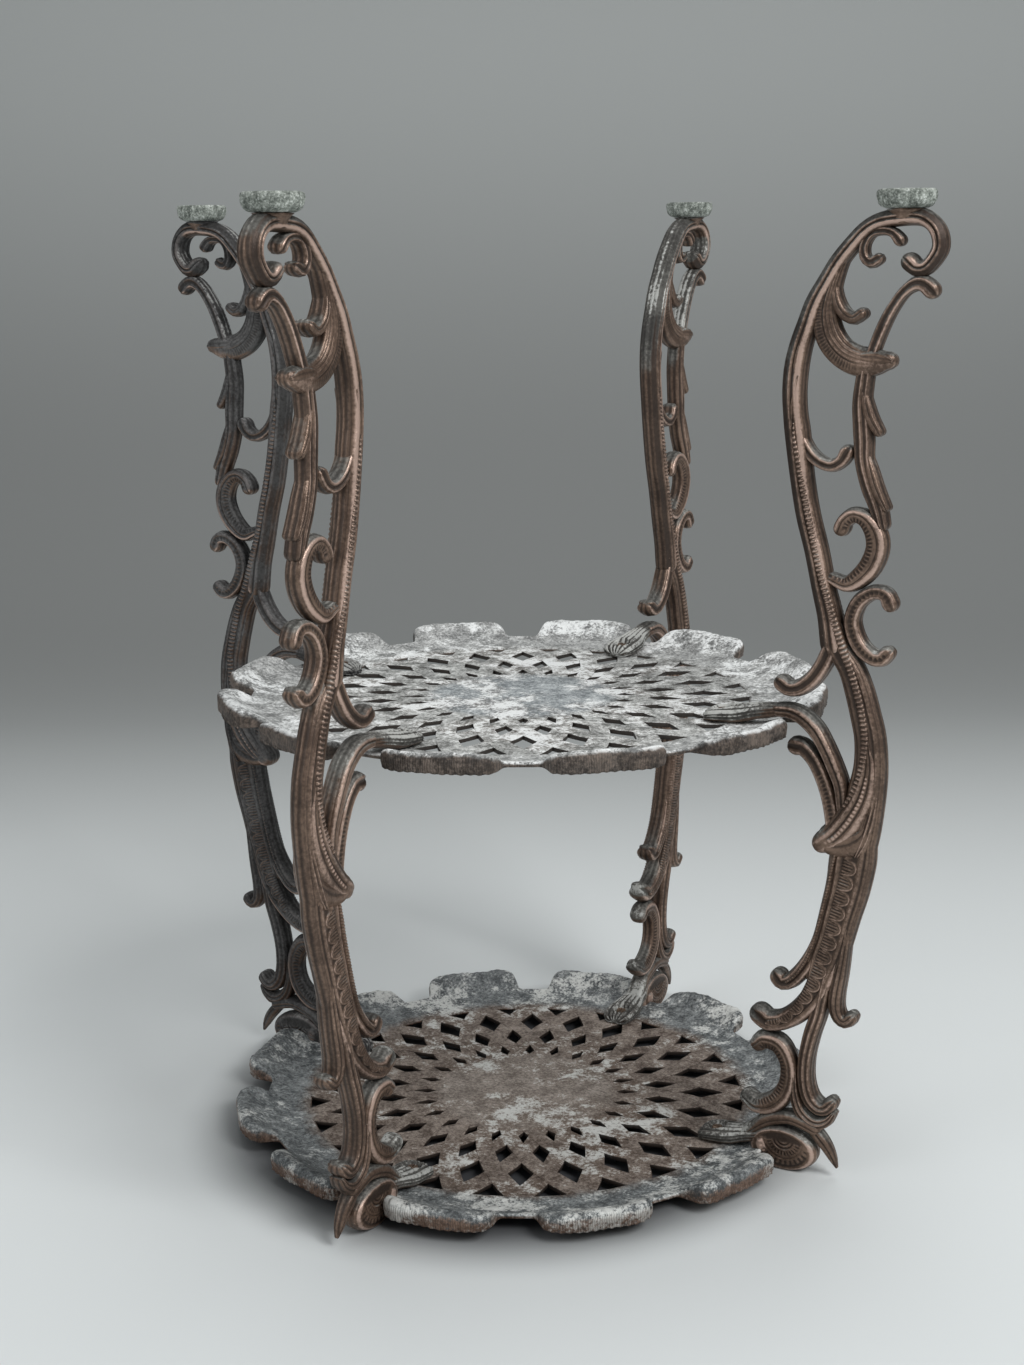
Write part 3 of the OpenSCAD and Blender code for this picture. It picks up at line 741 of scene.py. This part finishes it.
def shell_foot():
    """Flattened ellipse with a raised rim, and a fan of arcs and combs round a point near its top.

    In unit circle places (x, y) the face stands 9.2 mm times (1 - r^6)^0.4 away. The arcs and the
    combs are bells of the distance from that point, the combs times a cosine of the angle.
    """
    r = np.r_[0.03, np.linspace(0.08, 0.96, 25), 0.985, 1.0][:, None]
    a = np.linspace(0, 2 * np.pi, 96, endpoint=False)[None]
    x, y = r * np.cos(a), r * np.sin(a)
    fan_x, fan_y = (x - 0.06) * 1.55, y - 0.56
    far = np.hypot(fan_x, fan_y)
    inside = 1 / (1 + np.exp((r - 0.78) * 36))
    fan = 1 / (1 + np.exp((y - 0.40) * 30))
    teeth = 0.5 + 0.5 * np.cos(np.arctan2(fan_x, fan_y) * 30)
    combs = teeth * (np.exp(-((far - 0.68) / 0.10) ** 4) + np.exp(-((far - 1.12) / 0.11) ** 4))
    lines = ridges(far, *[(at, 0.045, 1.0) for at in (0.22, 0.38, 0.54, 0.84, 0.97)])
    mound = 1.8 * np.exp(-(((x + 0.62) / 0.17) ** 2 + ((y - 0.05) / 0.33) ** 2) ** 1.5)
    cut = ((combs + lines) * fan - 0.85 + mound) * inside + ridges(r, (0.89, 0.08, 0.6))
    face = 9.2 * (1 - r ** 6) ** 0.4 + cut * (1 - r ** 12)
    u, z = FOOT_AT + 27 * x, np.maximum(16.2 + 17.2 * y, 0.0)
    front = np.stack([u, -face, z], -1)
    back = np.stack([u, face, z], -1)[-2::-1]
    return shell(np.concatenate([front, back]), np.concatenate([cut, cut[-2::-1]]))


print("shell foot points:", len(shell_foot()[0]))

# %% [markdown]
# ## Leaf lugs
# Each leg holds the trays with a leaf that lies flat on the plate, with a screw through it. It is
# the same kind of band, but it lies down: its width runs round the stand and its height is up.

# %% Leaf lug


def lug(z0):
    """Leaf on a tray at height z0 with five rounded fingers, and a round cup for the screw.

    Rows of the table are [distance, half width, underside, top]. The fingers are the absolute
    sine of 2.5 turns over the width, and between them the tip is drawn in by up to 3.2 mm. The top
    is arched by a parabola, most at the tip. A cosine of the height cuts two grooves, up to 1.3 mm
    deep, into each flank. The cup takes the top down to 5.4 mm by the bell exp(-(d / 6.6)^8) of
    the distance d from the screw.
    """
    table = np.array([
        [154.5, 7.5, 0.1, 3.5], [156, 11.5, 0.1, 6.6], [161, 14.2, 0.1, 9.4],
        [168, 14.6, 0.1, 11.0], [178, 13.6, 0.1, 12.4], [184, 12.2, 0.6, 13.4],
        [190, 10.4, 2.6, 14.6], [196, 8.6, 4.2, 15.6], [203, 8.3, 5.6, 16.6],
        [216, 6.5, 8.6, 17.4]])
    tip, root = table[0, 0], table[-1, 0]
    u = np.r_[np.linspace(tip, 190, 50), np.linspace(192, root, 10)]
    half, low, top = (np.interp(u, table[:, 0], table[:, k])[:, None] for k in (1, 2, 3))
    v, y = section(np.linspace(-0.94, 0.94, 23), 7)
    v, y = v[None], y[None]
    mid, tall = (low + top) / 2, (top - low) / 2
    far = (u[:, None] - tip) / (root - tip)
    fingers = np.abs(np.sin(2.5 * np.pi * (v + 0.25 * (1 - far) * np.sin(2 * v)))) ** 0.7
    cut = (3.0 * fingers - 2.4) * (1 - 0.65 * far) * (y > 0.5)
    flank = 1.3 * (np.cos(2 * np.pi * y / 0.45) - 1) / 2 * (np.abs(y) < 0.5) * (1 - 0.5 * far)
    arch = np.where(y > 0, 1.06 - 0.5 * v ** 2 * (1 - far), 1.0)
    rise = tall * y * arch + cut * np.minimum(1, tall / 1.6)
    cup = np.exp(-(np.hypot(u[:, None] - SCREW_AT, half * v) / 6.6) ** 8) * (y > 0.3)
    rise = rise * (1 - cup) + np.minimum(rise, 5.4 - mid) * cup
    centre = np.stack([u, 0 * u, z0 + mid[:, 0]], 1)
    points, quads, tris, value = sweep(centre, ALONG_Y, ALONG_Z, half * v + np.sign(v) * flank,
                                       rise, (cut + flank) * (1 - cup))
    drawn_in = 3.2 * (1 - fingers) * np.exp(-far * 18)
    points[:rise.size, 0] += drawn_in.ravel()
    return points, quads, tris, value


def boss(z0):
    """Round seat for the screw's head on a tray at height z0."""
    profile = [[0.3, 0.2], [5.6, 0.2], [5.8, 5.2], [5.5, 5.8], [5.0, 5.95], [0.3, 5.95]]
    return lathe(np.add(profile, [0, z0]), 40, at=SCREW_AT)


lugs = [form(z0) for z0 in (LOWER_TOP, UPPER_TOP) for form in (lug, boss)]
print("lug points:", len(lugs[0][0]))

# %% Four legs

# the round neck that flares out under the pad
neck = lathe([[0.3, 688], [8.3, 688], [8.9, 692], [10.6, 695], [13.2, 697.3], [0.3, 697.4]],
             40, at=PAD_AT)
leg_forms = rails + scrolls + bead_rows + wrap + [shell_foot()] + lugs + [neck]
print("closed forms in a leg:", len(leg_forms))


def leg_weather(p, n):
    """Extra oxide by place p and normal n.

    It is 1.2 on flanks that face inwards near the top. On the lugs it is 0.6 at the upper tray
    and 0.3 at the lower one, and 0.8 more where the face is upright.
    """
    top = np.clip((p[:, 2] - 530) / 90, 0, 1)
    on_lug = np.clip((208 - p[:, 0]) / 16, 0, 1) * (p[:, 2] < UPPER_TOP + 31)
    on_tray = np.where(p[:, 2] > UPPER_TOP - 39, 0.6, 0.3)
    upright = 0.8 * (1 - n[:, 2] ** 2)
    return 1.2 * np.clip(-n[:, 0], 0, 1) * top + (upright + on_tray) * on_lug


for index, side_name in enumerate(SIDES):
    piece("carved_leg_" + side_name, leg_forms, grey_leg if side_name == "left" else brown_legs,
          "leg_" + side_name, turn=index * np.pi / 2, weather=leg_weather)

# %% [markdown]
# ## Trays
# Each tray is one casting. In the middle is a solid disc, round it run 24 straps one way and 24
# the other, like woven lattice, and outside is a smooth gutter with twelve raised lobes.

# %% Lattice straps


def lattice(z0, turn, thick=3.5):
    """48 straps on a tray at height z0, turned by turn degrees.

    Each is a flat bar with slightly broken edges. A strap's angle changes by 7.5 degrees from one
    ring of openings to the next. Rows of the table are [radius, ring, half width]. Straps of one
    hand lie 0.3 mm lower than those of the other.
    """
    table = np.array([[62, 0.2, 6.2], [79, 1, 6.4], [107, 2, 7.3], [140, 3, 8.7],
                      [177, 4.05, 10.5]])
    r = np.linspace(62, 176.5, 64)
    swing, half = (np.interp(r, table[:, 0], table[:, k]) for k in (1, 2))
    swing = np.convolve(np.pad(swing, 2, "edge"), np.ones(5) / 5, "valid")
    v = np.array([-1, -1, -0.985, -0.94, 0, 0.94, 0.985, 1, 1, 0.96, -0.96])[None]
    y = np.array([-1.6, 1.45, 1.72, 1.78, 1.85, 1.78, 1.72, 1.45, -1.6, -1.75, -1.75])[None]
    # carve of -1 marks the walls and undersides, which the tray finish paints near black: partly
    # dark bare metal, partly painted shade
    wall = np.where((np.abs(v) > 0.99) | (y < 0), -1.0, 0.0)
    made = []
    for hand in (1, -1):
        for k in range(24):
            a = np.radians(15 * k + hand * 7.5 * swing + turn)
            centre = np.stack([r * np.cos(a), r * np.sin(a), 0 * r + z0 - thick / 2], 1)
            side = np.stack([-np.sin(a), np.cos(a), 0 * a], 1)
            wave = 0.12 * np.sin(r[:, None] * 0.31 + k * 1.3) - 0.1
            rise = np.where(y > 0, y + wave - 0.3 * (hand < 0), y)
            made.append(sweep(centre, side, ALONG_Z, half[:, None] * v, rise, 0.2 * wave + wall))
    return made


print("straps on a tray:", len(lattice(0, 0)))

# %% Centre disc and lobed rim


def disc(z0):
    """Thin plate of 70 mm radius with a soft edge on a tray at height z0."""
    r = np.linspace(1, 68, 30)
    top = np.stack([r, np.full(30, z0 + 0.15)], 1)
    edge = [[69.3, z0 - 0.1], [69.6, z0 - 0.5], [69.6, z0 - 2.9], [69.0, z0 - 3.3]]
    low = np.stack([r[::-1], 0 * r + z0 - 3.4], 1)
    return lathe(np.vstack([top, edge, low]), 96, wobble=0.05)


def rim(z0, turn):
    """Gutter and lobes: the section is a closed loop whose outer points rise where h is 1.

    h is 1 over 21 of every 30 degrees and falls to 0 over about two degrees at each end. A point
    of the loop has the radius r0 + (a far + b) h and the height z0 + (c tall + d) h, where far and
    tall are how far a lobe reaches out and up. The corners of the lobes are rounded off, knobs run
    along the lower edge every 1.5 degrees, and sums of sines with odd periods crumple the lip.
    """
    a = np.radians(np.arange(0, 360, 1 / 3))[:, None]
    f = np.abs((np.degrees(a) % 30) - 15)
    h = 1 / (1 + np.exp((f - 10.7) / 0.30))
    corner = np.clip((f - 6.2) / 4.7, 0, 1) ** 2 * h
    far = 24 - 8 * corner + (0.7 * np.sin(17 * a + z0) + 0.5 * np.sin(43 * a)) * h - 0.6
    tall = 11 * (1 - 0.30 * corner) + 0.9 * np.sin(5 * a + z0) + 0.5 * np.sin(29 * a) - 0.4
    loop = np.array([  # r0, a, b, height, c, d
        [173.0, 0, 0.0, -1.6, 0, 0], [175.0, 0, 0.0, -0.3, 0, 0], [178.0, 0, 0.0, 0.35, 0, 0],
        [182.0, 0, 0.0, 0.2, 0, 0], [188.0, 0, 0.0, 0.3, 0, 0], [194.0, 0, 0.0, 0.8, 0, 0.3],
        [200.0, 0, 0.0, 1.7, 0, 0.5], [204.0, 0, 1.0, 2.6, 0, 0.9],
        [205.8, 1, -18.5, 3.2, 1, -8.2], [206.2, 1, -14.0, 3.4, 1, -5.2],
        [206.6, 1, -9.5, 3.5, 1, -2.2], [206.9, 1, -6.0, 3.5, 1, -0.5],
        [207.4, 1, -3.4, 3.4, 1, 0.0], [207.9, 1, -1.4, 3.0, 1, -0.5],
        [208.3, 1, -0.2, 2.4, 1, -2.0], [208.5, 1, 0.0, 1.8, 0.6, 0],
        [208.5, 1, -0.2, 1.2, 0.35, 0], [208.3, 1, -0.5, 0.7, 0.12, 0],
        [208.0, 1, 0.0, 0.2, 0, 0.4], [207.2, 1, -0.8, -0.3, 0, 0.1],
        [206.2, 1, -3.2, -0.4, 0, 1.2], [205.0, 1, -8.0, -0.7, 1, -6.0],
        [204.0, 1, -15.0, -1.0, 1, -9.2], [200.0, 0, 0.0, -1.8, 0, 0],
        [190.0, 0, 0.0, -2.8, 0, 0], [180.0, 0, 0.0, -3.4, 0, 0], [175.0, 0, 0.0, -3.3, 0, 0]])
    r = loop[:, 0] + (loop[:, 1] * far + loop[:, 2]) * h
    z = loop[:, 3] + (loop[:, 4] * tall + loop[:, 5]) * h
    # k counts the points of the loop: 9 to 20 make the lip, and 18 is its lower edge
    k = np.arange(len(loop))[None]
    knob = np.exp(-((k - 18) / 1.3) ** 2) * h
    lump = (np.sin(a * 61 + k * 1.7) * np.sin(a * 37 - k) + 0.6 * np.sin(a * 113 + k * 2.3)
            + 0.5 * np.sin(a * 211 - k)) * ((k > 8) & (k < 21)) * (0.25 + 0.75 * h)
    dent = 0.16 * np.sin(a * 23 + k) + 0.12 * np.sin(a * 57 - 2 * k)
    r = np.minimum(r + 0.24 * lump + knob * (0.8 * np.sin(a * 238) - 0.6), 232.2)
    z = z + 0.22 * lump + knob * 0.6 * np.sin(a * 238 + 1) + dent * (k < 11)
    b = a + np.radians(turn)
    rows = np.stack([r * np.cos(b), r * np.sin(b), z0 + z], -1)
    return shell(rows, 0.3 * lump, ring=True)


for tray_name, z0, turn, finish in (("lower", LOWER_TOP, -2.0, lower_crust),
                                    ("upper", UPPER_TOP, 0.0, upper_crust)):
    forms = lattice(z0, turn) + [disc(z0), rim(z0, turn)]
    piece("pierced_tray_" + tray_name, forms, finish, tray_name + "_tray")

# %% [markdown]
# ## Pads
# A pad is a thick round button with flutes round its edge. One table of radius and height gives
# its profile, and a cosine of the angle presses 24 flutes into the side.

# %% Fluted pads


def fluted_pad():
    """Radius times (1 - flute), where flute is a 24-fold cosine that fades at top and bottom.

    Rows of the table are [radius, height over the pad's underside]. Sines of 5 and 9 times the
    angle make the pad a little uneven.
    """
    p = np.array([[1, 0.1], [11, 0.1], [14, 0.3], [16.4, 1.2], [18.2, 3.0], [19.3, 5.6],
                  [19.8, 8.2], [19.7, 10.2], [19.0, 11.7], [17.4, 12.4], [12, 12.2], [3, 12.1],
                  [2.2, 12.0], [2.1, 7.0], [0.2, 6.8]])
    a = np.linspace(0, 2 * np.pi, 192, endpoint=False)[None]
    r, high = p[:, :1], p[:, 1:]
    z = PAD_LOW + high + 0.12 * np.sin(9 * a + r) * (r > 3) * (high < 12)
    deep = 0.045 * np.exp(-((high - 6) / 5.0) ** 2) * (r > 14)
    flute = deep * (0.5 - 0.5 * np.cos(24 * a)) ** 1.5
    lump = 1 + 0.006 * np.sin(5 * a + PAD_LOW + high) * (r > 10)
    out = np.minimum(r * (1 - flute) * lump, 19.95)
    rows = np.stack([PAD_AT + out * np.cos(a), out * np.sin(a), z], -1)
    return shell(rows, np.broadcast_to(0.2 - 10 * flute, rows.shape[:2]))


for index, side_name in enumerate(SIDES):
    piece("fluted_pad_" + side_name, [fluted_pad()], pad_stone, "pad_" + side_name,
          turn=index * np.pi / 2)

# %% [markdown]
# ## Fasteners
# The screws, washers and nuts are right as solids, so they stay as they are and only get rust.

# %% Fasteners
rusted = [tier + kind for tier in ("lower_", "upper_") for kind in ("screws", "washers", "nuts")]
for node_name in rusted:
    solid = frame["nodes"][node_name]
    solid.data.materials.clear()
    solid.data.materials.append(rust_steel)
print("rusted solids:", rusted)

# %% [markdown]
# ## Floor, light and camera
# A pale floor sheet that turns up into a back wall, with a painted shadow under the stand and
# painted shade that darkens the floor away from the camera and greys the wall, one large soft
# lamp high on the right, a weaker one on the left, one above and behind, and an even grey world.
# The camera stands where the photograph was taken from, found by matching the legs.

# %% Floor and backdrop
AWAY = (-0.506, 0.863, 0.0)


def backdrop(bend=1.3, radius=1.2, wall_top=5.0):
    """Floor sheet that bends up into a wall on a quarter circle, square to the camera's view.

    AWAY is the level way that the camera looks, and the bend starts 1.3 m from the stand. All
    sizes are in metres.
    """
    q = np.linspace(0, np.pi / 2, 24)
    wall = bend + radius
    away = np.r_[-4.0, np.linspace(-3.5, bend, 12), bend + radius * np.sin(q), wall, wall]
    high = np.r_[np.zeros(13), radius - radius * np.cos(q), wall_top / 2, wall_top]
    along = np.linspace(-6, 6, 9)[None, :, None]
    points = away[:, None, None] * np.array(AWAY) + along * np.array([AWAY[1], -AWAY[0], 0.0])
    points[..., 2] += high[:, None]
    n, m = points.shape[:2]
    i, j = np.meshgrid(np.arange(n - 1), np.arange(m - 1), indexing="ij")
    a = (i * m + j).ravel()
    mesh = bpy.data.meshes.new("backdrop")
    mesh.from_pydata(points.reshape(-1, 3).tolist(), [],
                     np.stack([a, a + 1, a + m + 1, a + m], 1).tolist())
    mesh.polygons.foreach_set("use_smooth", np.ones(len(mesh.polygons), bool))
    made = bpy.data.objects.new("backdrop", mesh)
    bpy.context.scene.collection.objects.link(made)
    return made


floor = backdrop()
floor_look, floor_shader, floor_place = material("floor_with_painted_shade")
distance = floor_place.node("VectorMath", {"operation": "DOT_PRODUCT"},
                            {0: floor_place, 1: AWAY}, out=1)
# painted shade: the one floor sheet is painted darker away from the camera
floor_painted_falloff = distance.step(0.1, 1.7).mix(colour("d6dada"), colour("7d7f7e"))
# painted shadow: the floor is painted dark under the lower tray, a little towards the camera's left
under = floor_place.off_axis((0.008, 0.022, 0.0)).step(0.180, 0.262)
floor_with_painted_shadow = under.mix(colour("3c3d40"), floor_painted_falloff)
# painted shade: higher up, where the sheet turns into the wall, it is painted a mid grey
floor_base = floor_place.part(2).step(0.25, 1.15).mix(floor_with_painted_shadow, colour("a2a5a4"))
floor_place.tree.links.new(floor_base.out, floor_shader.inputs["Base Color"])
floor_shader.inputs["Roughness"].default_value = 0.9
floor.data.materials.append(floor_look)
print("the wall behind is", max(v.co.z for v in floor.data.vertices), "m high")

# %% Lights


def looking(place, side, over, back):
    """Matrix of a lamp or camera at place: its right, its up, and the way away from its view."""
    return Matrix.Translation(place) @ Matrix(np.stack([side, over, back], 1).tolist()).to_4x4()


def lamp(name, place, size, power):
    """A square area lamp of size metres and power watts at place, aimed 0.3 m over the floor."""
    data = bpy.data.lights.new(name, "AREA")
    data.size, data.energy = size, power
    made = bpy.data.objects.new(name, data)
    bpy.context.scene.collection.objects.link(made)
    back = np.array(place) - [0, 0, 0.3]
    back /= np.linalg.norm(back)
    side = np.cross([0, 0, 1], back)
    side /= np.linalg.norm(side)
    made.matrix_world = looking(place, side, np.cross(back, side), back)


lamp("key", (2.6, -0.9, 2.7), size=1.6, power=95)
lamp("fill", (-1.6, -2.6, 1.7), size=2.0, power=24)
lamp("top", (-0.4, 0.9, 3.2), size=2.0, power=34)
world = bpy.data.worlds.new("studio")
world.use_nodes = True
world.node_tree.nodes["Background"].inputs["Color"].default_value = (0.80, 0.84, 0.87, 1)
world.node_tree.nodes["Background"].inputs["Strength"].default_value = 0.30
bpy.context.scene.world = world
print("lamps:", [lamp_data.name for lamp_data in bpy.data.lights])

# %% Camera
# angles in radians, the focal length and the photograph's height in pixels, the eye in metres
yaw, pitch, roll = 0.53006318, 0.22697908, -0.01121885
focal, photo_height, sensor = 1911.99739, 1365, 36
eye = (0.716935, -1.239522, 0.679488)
forward = np.array([-np.sin(yaw) * np.cos(pitch), np.cos(yaw) * np.cos(pitch), -np.sin(pitch)])
level = np.cross(forward, [0, 0, 1])
level /= np.linalg.norm(level)
above = np.cross(level, forward)
camera_data = bpy.data.cameras.new("camera")
camera_data.sensor_width = sensor
camera_data.lens = focal / photo_height * sensor
camera = bpy.data.objects.new("camera", camera_data)
bpy.context.scene.collection.objects.link(camera)
camera.matrix_world = looking(eye, level * np.cos(roll) + above * np.sin(roll),
                              above * np.cos(roll) - level * np.sin(roll), -forward)
bpy.context.scene.camera = camera
bpy.context.scene.view_settings.view_transform = "Standard"
print("lens in mm:", round(camera_data.lens, 2))
